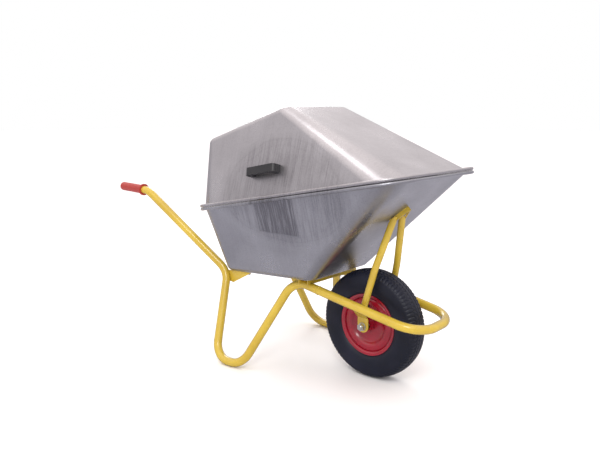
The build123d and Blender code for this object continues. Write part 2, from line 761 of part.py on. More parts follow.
with BuildPart() as bearing_outer_rings:
    with BuildSketch(SPIN):
        for side in (-1, 1):
            ring(15.9, BEARING_R, side * (HUB_HALF - BEARING_W), side * HUB_HALF)
            with Locations((BALL_PITCH_R, side * BALL_Y)):
                Circle(BALL_R + 0.1, mode=Mode.SUBTRACT)
    revolve(axis=AXLE_LINE)
save(bearing_outer_rings, "bearing_outer_rings")

with BuildPart() as bearing_inner_rings:
    with BuildSketch(SPIN):
        for side in (-1, 1):
            ring(AXLE_HOLE_R, INNER_RING_R, side * (HUB_HALF - BEARING_W), side * HUB_HALF)
            with Locations((BALL_PITCH_R, side * BALL_Y)):
                Circle(BALL_R + 0.3, mode=Mode.SUBTRACT)
    revolve(axis=AXLE_LINE)
save(bearing_inner_rings, "bearing_inner_rings")

with BuildPart() as bearing_balls:
    for side in (-1, 1):
        for turn in range(BALLS):
            angle = 2 * math.pi * turn / BALLS
            reach = Vector(math.sin(angle), 0, math.cos(angle)) * BALL_PITCH_R
            with Locations(AXLE + reach + Vector(0, side * BALL_Y, 0)):
                Sphere(BALL_R)
save(bearing_balls, "bearing_balls")

with BuildPart() as bearing_shields:
    with BuildSketch(SPIN):
        for side in (-1, 1):
            ring(INNER_RING_R + 0.35, 15.9, side * (HUB_HALF - 1.2), side * (HUB_HALF - 0.4))
    revolve(axis=AXLE_LINE)
save(bearing_shields, "bearing_shields")

with BuildPart() as bearing_spacer:
    with BuildSketch(SPIN):
        ring(AXLE_HOLE_R, 11, -HUB_HALF + BEARING_W, HUB_HALF - BEARING_W)
    revolve(axis=AXLE_LINE)
save(bearing_spacer, "bearing_spacer")

with BuildPart() as axle_spacers:
    with BuildSketch(SPIN):
        for side in (-1, 1):
            ring(AXLE_HOLE_R, SPACER_R, side * HUB_HALF, side * HANGER_IN)
    revolve(axis=AXLE_LINE)
save(axle_spacers, "axle_spacers")

with BuildPart() as axle_washers:
    with BuildSketch(SPIN):
        for side in (-1, 1):
            ring(AXLE_HOLE_R + 0.3, 15, side * (HANGER_IN + PLATE), side * WASHER_OUT)
    revolve(axis=AXLE_LINE)
save(axle_washers, "axle_washers")

head_seat = AXLE + Vector(0, WASHER_OUT, 0)
nut_seat = AXLE - Vector(0, WASHER_OUT, 0)
with BuildPart() as axle_bolt:
    with BuildSketch(Plane(origin=head_seat, x_dir=(0, 0, 1), z_dir=(0, 1, 0))):
        RegularPolygon(M16_AF / 2 * NUT_SIDE, 6)
    extrude(amount=10)
    with BuildSketch(Plane(origin=head_seat, x_dir=(0, 0, 1), z_dir=(0, -1, 0))):
        Circle(AXLE_R)
    extrude(amount=2 * WASHER_OUT + 17)
    chamfer(axle_bolt.edges().filter_by(GeomType.CIRCLE).sort_by(Axis.Y)[0], 1)
save(axle_bolt, "axle_bolt")

with BuildPart() as axle_nut:
    with BuildSketch(Plane(origin=nut_seat, x_dir=(0, 0, 1), z_dir=(0, -1, 0))):
        RegularPolygon(M16_AF / 2 * NUT_SIDE, 6)
        Circle(AXLE_R, mode=Mode.SUBTRACT)
    extrude(amount=13)
save(axle_nut, "axle_nut")
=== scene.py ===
import logging
import math
from dataclasses import dataclass, field
from enum import Enum

import bpy
import numpy as np
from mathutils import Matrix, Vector


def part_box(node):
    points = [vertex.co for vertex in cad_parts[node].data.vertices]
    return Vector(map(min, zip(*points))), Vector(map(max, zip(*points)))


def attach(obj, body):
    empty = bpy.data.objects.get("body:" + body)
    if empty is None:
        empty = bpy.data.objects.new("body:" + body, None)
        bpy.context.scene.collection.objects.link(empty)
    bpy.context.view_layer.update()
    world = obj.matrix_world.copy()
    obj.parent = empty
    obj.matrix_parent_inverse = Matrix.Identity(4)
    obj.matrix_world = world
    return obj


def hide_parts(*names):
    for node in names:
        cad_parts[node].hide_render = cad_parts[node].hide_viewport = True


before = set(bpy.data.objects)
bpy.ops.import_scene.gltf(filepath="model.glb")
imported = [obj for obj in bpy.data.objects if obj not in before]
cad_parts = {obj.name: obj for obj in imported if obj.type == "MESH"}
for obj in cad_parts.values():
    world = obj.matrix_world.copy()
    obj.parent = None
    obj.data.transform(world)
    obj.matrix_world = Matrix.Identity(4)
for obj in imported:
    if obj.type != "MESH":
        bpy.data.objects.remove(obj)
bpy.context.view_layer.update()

LOG = logging.getLogger("wheelbarrow")

Point = tuple[float, float, float]


class Tone(Enum):
    """Linear colours of the barrow's finishes."""

    FRAME_YELLOW = (0.64, 0.46, 0.048)
    FRAME_SHADE = (0.54, 0.37, 0.032)
    GRIP_RED = (0.40, 0.036, 0.026)
    GRIP_DARK = (0.34, 0.030, 0.024)
    RIM_RED = (0.34, 0.004, 0.020)
    RIM_DARK = (0.25, 0.003, 0.015)
    TYRE_BLACK = (0.006, 0.008, 0.017)
    TYRE_DUSTY = (0.013, 0.015, 0.032)
    # Tray and lid are the same galvanised sheet: the darker tray tones are painted shade and the
    # lighter lid tones are painted light.
    TRAY_SHADED_LIGHT = (0.42, 0.425, 0.455)
    TRAY_SHADED_DARK = (0.17, 0.17, 0.19)
    LID_LIT_LIGHT = (0.50, 0.485, 0.50)
    LID_LIT_DARK = (0.22, 0.21, 0.22)
    PLATE_LIGHT = (0.66, 0.65, 0.60)
    PLATE_DARK = (0.50, 0.49, 0.45)
    STEEL_LIGHT = (0.70, 0.70, 0.72)
    STEEL_DARK = (0.58, 0.58, 0.60)
    PLASTIC_BLACK = (0.007, 0.007, 0.009)
    PLASTIC_WORN = (0.022, 0.022, 0.024)
    FLOOR_WHITE = (0.95, 0.95, 0.95)
    FLOOR_MIRRORED = (0.43, 0.435, 0.48)


# ---------------------------------------------------------------- shader groups


def open_group(name: str, inputs: dict[str, str], outputs: dict[str, str]) -> tuple:
    """Start a shader node group.

    Args:
        name: Name of the group.
        inputs: Input names with their socket types.
        outputs: Output names with their socket types.

    Returns:
        The group's tree, its input node and its output node.
    """
    tree = bpy.data.node_groups.new(name, "ShaderNodeTree")
    for label, kind in inputs.items():
        tree.interface.new_socket(name=label, in_out="INPUT", socket_type=kind)
    for label, kind in outputs.items():
        tree.interface.new_socket(name=label, in_out="OUTPUT", socket_type=kind)
    return tree, tree.nodes.new("NodeGroupInput"), tree.nodes.new("NodeGroupOutput")


def blend_node(tree: bpy.types.NodeTree, factor: object, first: object, second: object) -> object:
    """Mix two colours.

    Args:
        tree: Tree that takes the node.
        factor: Socket or number that sets the share of the second colour.
        first: Socket or colour at factor 0.
        second: Socket or colour at factor 1.

    Returns:
        The mixed colour's socket.
    """
    node = tree.nodes.new("ShaderNodeMix")
    node.data_type = "RGBA"
    for index, value in ((0, factor), (6, first), (7, second)):
        if isinstance(value, bpy.types.NodeSocket):
            tree.links.new(value, node.inputs[index])
        else:
            node.inputs[index].default_value = value
    return node.outputs[2]


def sum_node(tree: bpy.types.NodeTree, operation: str, first: object, second: object) -> object:
    """Join two numbers.

    Args:
        tree: Tree that takes the node.
        operation: Name of the arithmetic.
        first: Socket or number.
        second: Socket or number.

    Returns:
        The result's socket.
    """
    node = tree.nodes.new("ShaderNodeMath")
    node.operation = operation
    for index, value in ((0, first), (1, second)):
        if isinstance(value, bpy.types.NodeSocket):
            tree.links.new(value, node.inputs[index])
        else:
            node.inputs[index].default_value = value
    return node.outputs[0]


def span_node(tree: bpy.types.NodeTree, value: object, low: float, high: float,
              to_low: object = 0.0, to_high: object = 1.0) -> object:
    """Map a range of one value onto another, clamped.

    Args:
        tree: Tree that takes the node.
        value: Socket to map.
        low: Value that gives to_low.
        high: Value that gives to_high.
        to_low: Socket or number at the low end.
        to_high: Socket or number at the high end.

    Returns:
        The mapped value's socket.
    """
    node = tree.nodes.new("ShaderNodeMapRange")
    tree.links.new(value, node.inputs["Value"])
    node.inputs["From Min"].default_value = low
    node.inputs["From Max"].default_value = high
    for label, end in (("To Min", to_low), ("To Max", to_high)):
        if isinstance(end, bpy.types.NodeSocket):
            tree.links.new(end, node.inputs[label])
        else:
            node.inputs[label].default_value = end
    return node.outputs["Result"]


def noise_node(tree: bpy.types.NodeTree, place: object, scale: object, detail: float) -> object:
    """Noise over a place.

    Args:
        tree: Tree that takes the node.
        place: Socket with the coordinates.
        scale: Socket or number for the fineness.
        detail: Octaves.

    Returns:
        The noise value's socket, 0 to 1.
    """
    node = tree.nodes.new("ShaderNodeTexNoise")
    node.inputs["Detail"].default_value = detail
    tree.links.new(place, node.inputs["Vector"])
    if isinstance(scale, bpy.types.NodeSocket):
        tree.links.new(scale, node.inputs["Scale"])
    else:
        node.inputs["Scale"].default_value = scale
    return node.outputs["Fac"]


def vector_node(tree: bpy.types.NodeTree, operation: str, first: object,
                second: object = None) -> bpy.types.Node:
    """Work on one or two vectors.

    Args:
        tree: Tree that takes the node.
        operation: Name of the arithmetic.
        first: Socket with the first vector.
        second: Socket with the second vector, if the arithmetic takes one.

    Returns:
        The node.
    """
    node = tree.nodes.new("ShaderNodeVectorMath")
    node.operation = operation
    tree.links.new(first, node.inputs[0])
    if second is not None:
        tree.links.new(second, node.inputs[1])
    return node


def stretched_place(tree: bpy.types.NodeTree, place: object, stretch: Point) -> object:
    """Coordinates scaled apart along each axis, as a socket."""
    node = vector_node(tree, "MULTIPLY", place)
    node.inputs[1].default_value = stretch
    return node.outputs[0]


def in_reaches(tree: bpy.types.NodeTree, place: object, centre: object, reach: object) -> object:
    """Way from a centre, counted in reaches along each axis, as a socket."""
    apart = vector_node(tree, "SUBTRACT", place, centre)
    return vector_node(tree, "DIVIDE", apart.outputs[0], reach).outputs[0]


def nearness(tree: bpy.types.NodeTree, place: object, centre: object, reach: object) -> object:
    """Distance from a centre, counted in reaches, as a socket."""
    share = in_reaches(tree, place, centre, reach)
    return vector_node(tree, "LENGTH", share).outputs["Value"]


def box_nearness(tree: bpy.types.NodeTree, place: object, centre: object,
                 reach: object) -> object:
    """Distance from a centre, counted in reaches along the farthest axis, as a socket."""
    share = in_reaches(tree, place, centre, reach)
    size = vector_node(tree, "ABSOLUTE", share)
    axes = tree.nodes.new("ShaderNodeSeparateXYZ")
    tree.links.new(size.outputs[0], axes.inputs[0])
    flat = sum_node(tree, "MAXIMUM", axes.outputs["X"], axes.outputs["Z"])
    return sum_node(tree, "MAXIMUM", flat, axes.outputs["Y"])


COLOUR_SOCKET = "NodeSocketColor"
NUMBER_SOCKET = "NodeSocketFloat"
VECTOR_SOCKET = "NodeSocketVector"


def make_grain_group() -> bpy.types.NodeTree:
    """Soft mottling of colour and gloss with a fine orange-peel height.

    Returns:
        The group's tree.
    """
    tree, given, result = open_group(
        "coat_grain",
        {"Light": COLOUR_SOCKET, "Dark": COLOUR_SOCKET, "Scale": NUMBER_SOCKET,
         "Gloss": NUMBER_SOCKET, "Dull": NUMBER_SOCKET},
        {"Colour": COLOUR_SOCKET, "Roughness": NUMBER_SOCKET, "Height": NUMBER_SOCKET},
    )
    place = tree.nodes.new("ShaderNodeTexCoord").outputs["Object"]
    broad = noise_node(tree, place, 9.0, 3.0)
    fine = noise_node(tree, place, given.outputs["Scale"], 2.0)
    shade = span_node(tree, broad, 0.35, 0.7)
    colour = blend_node(tree, shade, given.outputs["Light"], given.outputs["Dark"])
    rough = span_node(tree, broad, 0.3, 0.75, given.outputs["Gloss"], given.outputs["Dull"])
    tree.links.new(colour, result.inputs["Colour"])
    tree.links.new(rough, result.inputs["Roughness"])
    tree.links.new(fine, result.inputs["Height"])
    return tree


LINE_STRETCH = (1.0, 0.10, 0.03)   # draw lines run upright
FINE_LINE_SCALE = 330.0
BROAD_LINE_SCALE = 110.0
FINE_LINE_SHARE = 0.6
CLOUD_SCALE = 4.5
SPECK_SCALE = 210.0
FAN_RINGS = 60.0                   # radians of ring pattern in one reach
FAN_WANDER = 0.12
RING_WEIGHT = 0.10
FAN_WEIGHT = 0.10
SCUFF_WEIGHT = 0.26
CLOUD_WEIGHT = 0.30
SPECK_WEIGHT = 0.16


def make_draw_group() -> bpy.types.NodeTree:
    """Fine upright draw lines, a fan of pressing marks and a scuffed patch on sheet metal.

    Returns:
        The group's tree.
    """
    tree, given, result = open_group(
        "draw_marks",
        {"Light": COLOUR_SOCKET, "Dark": COLOUR_SOCKET, "Gloss": NUMBER_SOCKET,
         "Dull": NUMBER_SOCKET, "Fan Centre": VECTOR_SOCKET, "Fan Reach": VECTOR_SOCKET,
         "Patch Centre": VECTOR_SOCKET, "Patch Reach": VECTOR_SOCKET, "Scuff": NUMBER_SOCKET},
        {"Colour": COLOUR_SOCKET, "Roughness": NUMBER_SOCKET, "Height": NUMBER_SOCKET},
    )
    place = tree.nodes.new("ShaderNodeTexCoord").outputs["Object"]
    line_place = stretched_place(tree, place, LINE_STRETCH)
    fine_lines = noise_node(tree, line_place, FINE_LINE_SCALE, 2.0)
    broad_lines = noise_node(tree, line_place, BROAD_LINE_SCALE, 2.0)
    lines = sum_node(tree, "ADD", sum_node(tree, "MULTIPLY", fine_lines, FINE_LINE_SHARE),
                     sum_node(tree, "MULTIPLY", broad_lines, 1.0 - FINE_LINE_SHARE))
    clouds = noise_node(tree, place, CLOUD_SCALE, 4.0)
    fan = nearness(tree, place, given.outputs["Fan Centre"], given.outputs["Fan Reach"])
    wander = sum_node(tree, "MULTIPLY", noise_node(tree, place, 12.0, 2.0), FAN_WANDER)
    fan = sum_node(tree, "ADD", fan, wander)
    fan_in = span_node(tree, fan, 1.10, 0.92)
    rings = sum_node(tree, "SINE", sum_node(tree, "MULTIPLY", fan, FAN_RINGS), 0.0)
    ring_band = sum_node(tree, "MULTIPLY", span_node(tree, fan, 0.78, 0.95), fan_in)
    ring_marks = sum_node(tree, "MULTIPLY", span_node(tree, rings, 0.2, 0.9), ring_band)
    patch = box_nearness(tree, place, given.outputs["Patch Centre"],
                         given.outputs["Patch Reach"])
    patch = sum_node(tree, "ADD", patch, sum_node(tree, "MULTIPLY", lines, 0.25))
    patch_in = sum_node(tree, "MULTIPLY", span_node(tree, patch, 1.16, 1.06),
                        given.outputs["Scuff"])
    marked = sum_node(tree, "MAXIMUM", sum_node(tree, "MULTIPLY", fan_in, 0.40), patch_in)
    streak = span_node(tree, lines, 0.42, 0.62)
    strength = sum_node(tree, "ADD", 0.07, sum_node(tree, "MULTIPLY", marked, 0.66))
    streaked = sum_node(tree, "MULTIPLY", streak, strength)
    scuff = sum_node(tree, "MULTIPLY", patch_in, SCUFF_WEIGHT)
    edge = sum_node(tree, "ADD", sum_node(tree, "MULTIPLY", ring_marks, RING_WEIGHT),
                    sum_node(tree, "MULTIPLY", fan_in, FAN_WEIGHT))
    specks = span_node(tree, noise_node(tree, place, SPECK_SCALE, 3.0), 0.45, 0.70)
    speck = sum_node(tree, "MULTIPLY", specks, SPECK_WEIGHT)
    cloud = sum_node(tree, "MULTIPLY", span_node(tree, clouds, 0.38, 0.64), CLOUD_WEIGHT)
    cloud = sum_node(tree, "ADD", cloud, speck)
    shade = sum_node(tree, "ADD", sum_node(tree, "ADD", streaked, scuff),
                     sum_node(tree, "ADD", edge, cloud))
    colour = blend_node(tree, span_node(tree, shade, 0.0, 1.0), given.outputs["Light"],
                        given.outputs["Dark"])
    rough = span_node(tree, shade, 0.05, 0.8, given.outputs["Gloss"], given.outputs["Dull"])
    tree.links.new(colour, result.inputs["Colour"])
    tree.links.new(rough, result.inputs["Roughness"])
    tree.links.new(lines, result.inputs["Height"])
    return tree


GRAIN = make_grain_group()
DRAW = make_draw_group()


# ---------------------------------------------------------------- finishes


def rgba(tone: Tone) -> tuple[float, float, float, float]:
    """A tone with full alpha."""
    return (*tone.value, 1.0)


def open_material(name: str) -> tuple:
    """Start a material.

    Args:
        name: Name of the material.

    Returns:
        The material, its tree and its Principled BSDF.
    """
    material = bpy.data.materials.new(name)
    material.use_nodes = True
    tree = material.node_tree
    return material, tree, tree.nodes["Principled BSDF"]


def dress_shader(tree: bpy.types.NodeTree, shader: bpy.types.Node, group: bpy.types.NodeTree,
                 values: dict[str, object], bump: float, depth: float) -> None:
    """Place a shader group and feed the shader from it.

    Args:
        tree: The material's tree.
        shader: The Principled BSDF.
        group: Shader group with Colour, Roughness and Height outputs.
        values: Values for the group's inputs.
        bump: Strength of the relief.
        depth: Height of the relief in metres.
    """
    node = tree.nodes.new("ShaderNodeGroup")
    node.node_tree = group
    for label, value in values.items():
        node.inputs[label].default_value = value
    tree.links.new(node.outputs["Colour"], shader.inputs["Base Color"])
    tree.links.new(node.outputs["Roughness"], shader.inputs["Roughness"])
    relief = tree.nodes.new("ShaderNodeBump")
    relief.inputs["Strength"].default_value = bump
    relief.inputs["Distance"].default_value = depth
    tree.links.new(node.outputs["Height"], relief.inputs["Height"])
    tree.links.new(relief.outputs["Normal"], shader.inputs["Normal"])


@dataclass(frozen=True)
class CoatedFinish:
    """Paint, plastic, rubber or plain metal with a soft mottling, and an optional painted shade
    towards grazing angles.
    """

    name: str
    light: Tone
    dark: Tone
    gloss: float
    dull: float
    metallic: float = 0.0
    coat: float = 0.0
    scale: float = 220.0
    bump: float = 0.08
    depth: float = 0.0004
    specular: float = 0.5
    # Strength of the painted shade that darkens the colour towards grazing angles.
    painted_edge_shade: float = 0.0

    def material(self) -> bpy.types.Material:
        """Build the material.

        Returns:
            The finished material.
        """
        material, tree, shader = open_material(self.name)
        shader.inputs["Metallic"].default_value = self.metallic
        shader.inputs["Coat Weight"].default_value = self.coat
        shader.inputs["Coat Roughness"].default_value = 0.08
        values = {"Light": rgba(self.light), "Dark": rgba(self.dark), "Scale": self.scale,
                  "Gloss": self.gloss, "Dull": self.dull}
        shader.inputs["Specular IOR Level"].default_value = self.specular
        dress_shader(tree, shader, GRAIN, values, self.bump, self.depth)
        # Painted shade: the base colour darkens towards grazing angles, standing in for the darker
        # edges that light gives the tubes.
        if self.painted_edge_shade:
            facing = tree.nodes.new("ShaderNodeLayerWeight").outputs["Facing"]
            grazing = span_node(tree, facing, 0.45, 0.95, 0.0, self.painted_edge_shade)
            full = shader.inputs["Base Color"].links[0].from_socket
            deep = (*(part * 0.25 for part in self.dark.value), 1.0)
            tree.links.new(blend_node(tree, grazing, full, deep), shader.inputs["Base Color"])
        return material


@dataclass(frozen=True)
class PressedFinish:
    """Galvanised sheet with the lines and scuffs of deep drawing."""

    name: str
    fan_centre: Point
    fan_reach: Point
    patch_centre: Point
    patch_reach: Point
    scuff: float
    light: Tone
    dark: Tone
    gloss: float = 0.27
    dull: float = 0.42

    def material(self) -> bpy.types.Material:
        """Build the material.

        Returns:
            The finished material.
        """
        material, tree, shader = open_material(self.name)
        shader.inputs["Metallic"].default_value = 0.92
        values = {"Light": rgba(self.light), "Dark": rgba(self.dark), "Gloss": self.gloss,
                  "Dull": self.dull, "Fan Centre": self.fan_centre, "Fan Reach": self.fan_reach,
                  "Patch Centre": self.patch_centre, "Patch Reach": self.patch_reach,
                  "Scuff": self.scuff}
        dress_shader(tree, shader, DRAW, values, 0.10, 0.0003)
        return material


# The frame paint darkens towards grazing angles as painted shade.
FRAME_PAINT = CoatedFinish("frame_paint", Tone.FRAME_YELLOW, Tone.FRAME_SHADE, 0.22, 0.34,
                           coat=0.4, painted_edge_shade=0.75)
GRIP_PLASTIC = CoatedFinish("grip_plastic", Tone.GRIP_RED, Tone.GRIP_DARK, 0.36, 0.5, scale=500.0)
RIM_PAINT = CoatedFinish("rim_paint", Tone.RIM_RED, Tone.RIM_DARK, 0.2, 0.3, coat=0.5)
TYRE_RUBBER = CoatedFinish("tyre_rubber", Tone.TYRE_BLACK, Tone.TYRE_DUSTY, 0.36, 0.55,
                           scale=700.0, bump=0.2, specular=0.32)
TUBE_RUBBER = CoatedFinish("tube_rubber", Tone.TYRE_BLACK, Tone.TYRE_BLACK, 0.6, 0.7)
VALVE_RUBBER = CoatedFinish("valve_rubber", Tone.TYRE_BLACK, Tone.TYRE_DUSTY, 0.5, 0.6)
HANDLE_PLASTIC = CoatedFinish("handle_plastic", Tone.PLASTIC_BLACK, Tone.PLASTIC_WORN, 0.35, 0.5,
                              scale=600.0, bump=0.15)
ZINC_PLATED = CoatedFinish("zinc_plated", Tone.PLATE_LIGHT, Tone.PLATE_DARK, 0.28, 0.42,
                           metallic=1.0)
BEARING_STEEL = CoatedFinish("bearing_steel", Tone.STEEL_LIGHT, Tone.STEEL_DARK, 0.12, 0.2,
                             metallic=1.0)
# One galvanised sheet in two copies: a darker one for the tray as painted shade and a lighter one
# for the lid as painted light.
TRAY_SHADED_SHEET = PressedFinish("galvanised_tray_painted_shade", (0.19, -0.26, 0.66), (0.30, 0.30, 0.17),
                           (0.165, -0.26, 0.600), (0.095, 0.10, 0.072), 1.0,
                           Tone.TRAY_SHADED_LIGHT, Tone.TRAY_SHADED_DARK)
LID_LIT_SHEET = PressedFinish("galvanised_lid_painted_light", (0.19, -0.26, 0.66), (0.31, 0.30, 0.225),
                          (0.235, -0.26, 0.76), (0.080, 0.10, 0.055), 0.2,
                          Tone.LID_LIT_LIGHT, Tone.LID_LIT_DARK)


# ---------------------------------------------------------------- mesh helpers


def smooth_curve(points: list[tuple[float, float]], steps: int) -> np.ndarray:
    """Points along a smooth curve through the given ones.

    Args:
        points: Places the curve passes through, in order.
        steps: Number of steps between neighbours.

    Returns:
        The curve's points, one row each.
    """
    p = np.array([points[0], *points, points[-1]], dtype=float)
    rows = []
    for k in range(1, len(p) - 2):
        for t in np.linspace(0.0, 1.0, steps, endpoint=False):
            rows.append(0.5 * (2 * p[k] + (p[k + 1] - p[k - 1]) * t
                        + (2 * p[k - 1] - 5 * p[k] + 4 * p[k + 1] - p[k + 2]) * t ** 2
                        + (3 * p[k] - p[k - 1] - 3 * p[k + 1] + p[k + 2]) * t ** 3))
    rows.append(p[-2])
    return np.array(rows)


def mesh_piece(name: str, points: np.ndarray, faces: list, material: bpy.types.Material,
               body: str) -> bpy.types.Object:
    """Make a piece from points and faces and put it on its body.

    Args:
        name: Name of the piece.
        points: Vertices, one row each, in metres.
        faces: Vertex numbers of each face.
        material: Its finish.
        body: Body it rides on.

    Returns:
        The new object.
    """
    mesh = bpy.data.meshes.new(name)
    mesh.from_pydata([tuple(row) for row in points], [], faces)
    mesh.materials.append(material)
    mesh.polygons.foreach_set("use_smooth", [True] * len(mesh.polygons))
    mesh.validate()
    mesh.update()
    piece = bpy.data.objects.new(name, mesh)
    bpy.context.scene.collection.objects.link(piece)
    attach(piece, body)
    LOG.info("made %s on %s", name, body)
    return piece


def ring_faces(rings: int, around: int) -> list[tuple[int, int, int, int]]:
    """Faces of a grid that closes on itself both ways.

    Args:
        rings: Number of rings.
        around: Points in each ring.

    Returns:
        The quads.
    """
    faces = []
    for i in range(rings):
        for j in range(around):
            k, m = (i + 1) % rings, (j + 1) % around
            faces.append((i * around + j, i * around + m, k * around + m, k * around + j))
    return faces


def dress_node(node: str, material: bpy.types.Material, bevel: float = 0.0) -> None:
    """Give a CAD node its finish.

    Args:
        node: Name of the node.
        material: Its finish.
        bevel: Width of a softening bevel in metres, or 0 for none.
    """
    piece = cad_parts[node]
    piece.data.materials.clear()
    piece.data.materials.append(material)
    if bevel:
        edge = piece.modifiers.new("soft_edge", "BEVEL")
        edge.width = bevel
        edge.segments = 2
        edge.limit_method = "ANGLE"
        edge.angle_limit = math.radians(40.0)
        edge.harden_normals = False
    LOG.info("dressed %s", node)


# ---------------------------------------------------------------- sub-assemblies


@dataclass
class TubeFrame:
    """Yellow tubes with their welded brackets and the red grips."""

    painted: tuple[str, ...] = (
        "side_tube_right", "side_tube_left", "nose_hoop", "brace_right", "brace_left")
    plates: tuple[str, ...] = (
        "rear_gusset_right", "rear_gusset_left", "front_cross_member", "brace_bracket",
        "axle_hanger_right", "axle_hanger_left")
    grips: tuple[str, ...] = ("grip_right", "grip_left")
    tube_r: float = 0.016
    bead_r: float = 0.0022
    bead_steps: int = 96
    bead_sides: int = 8
    bead_ripples: int = 34
    bead_swell: float = 0.22
    rail_out: float = 0.08
    rail_end_slice: float = 0.012
    paint: bpy.types.Material = field(init=False)

    def dress(self) -> None:
        """Put paint on the steel and plastic on the grips."""
        self.paint = FRAME_PAINT.material()
        plastic = GRIP_PLASTIC.material()
        for node in self.painted:
            dress_node(node, self.paint)
        for node in self.plates:
            dress_node(node, self.paint, bevel=0.0006)
        for node in self.grips:
            dress_node(node, plastic)

    def weld(self, name: str, centre: Vector, along: Vector, radius: float) -> None:
        """Lay a rippled weld bead round a tube.

        Args:
            name: Name of the piece.
            centre: Middle of the joint.
            along: The tube's direction.
            radius: Outside radius of the tube.
        """
        along = along.normalized()
        side = along.orthogonal().normalized()
        up = along.cross(side)
        rows = []
        for i in range(self.bead_steps):
            turn = 2 * math.pi * i / self.bead_steps
            out = side * math.cos(turn) + up * math.sin(turn)
            swell = 1.0 + self.bead_swell * math.sin(turn * self.bead_ripples)
            for j in range(self.bead_sides):
                angle = 2 * math.pi * j / self.bead_sides
                reach = self.bead_r * swell
                spot = centre + out * (radius + 0.45 * reach * math.cos(angle))
                rows.append(spot + along * (1.5 * reach * math.sin(angle)))
        mesh_piece(name, np.array(rows), ring_faces(self.bead_steps, self.bead_sides),
                   self.paint, "frame")

    def build(self) -> None:
        """Dress the frame and weld the side tubes to the hoop."""
        self.dress()
        for side, name in ((-1, "right"), (1, "left")):
            centre, along = self.rail_end(side)
            self.weld(f"rail_weld_{name}", centre, along, self.tube_r)

    def rail_end(self, side: int) -> tuple[Vector, Vector]:
        """Find where one rail of the hoop meets its side tube.

        Args:
            side: -1 for the right rail, 1 for the left.

        Returns:
            The joint's middle and the rail's direction.
        """
        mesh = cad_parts["nose_hoop"].data
        points = np.array([v.co[:] for v in mesh.vertices])
        points = points[points[:, 1] * side > self.rail_out]
        first = points[points[:, 0] < points[:, 0].min() + self.rail_end_slice]
        centre = Vector((first.min(axis=0) + first.max(axis=0)) / 2)
        return centre, Vector((0.985, 0.02 * side, -0.17))


@dataclass
class PressedShells:
    """Tray and lid with their bolts, hinges and lid handle."""

    hardware: tuple[str, ...] = (
        "tray_bolts", "tray_washers", "tray_nuts", "hinge_tray_leaves", "hinge_lid_leaves",
        "hinge_tray_rivets", "hinge_lid_rivets", "hinge_pins", "lid_handle_screws")
    handle_bevel: float = 0.0015

    def build(self) -> None:
        """Dress both pressings and everything fixed to them."""
        # The tray gets the painted-shade copy of the sheet and the lid gets the painted-light
        # copy.
        dress_node("tray", TRAY_SHADED_SHEET.material())
        dress_node("lid", LID_LIT_SHEET.material())
        zinc = ZINC_PLATED.material()
        for node in self.hardware:
            dress_node(node, zinc)
        dress_node("lid_handle", HANDLE_PLASTIC.material(), bevel=self.handle_bevel)


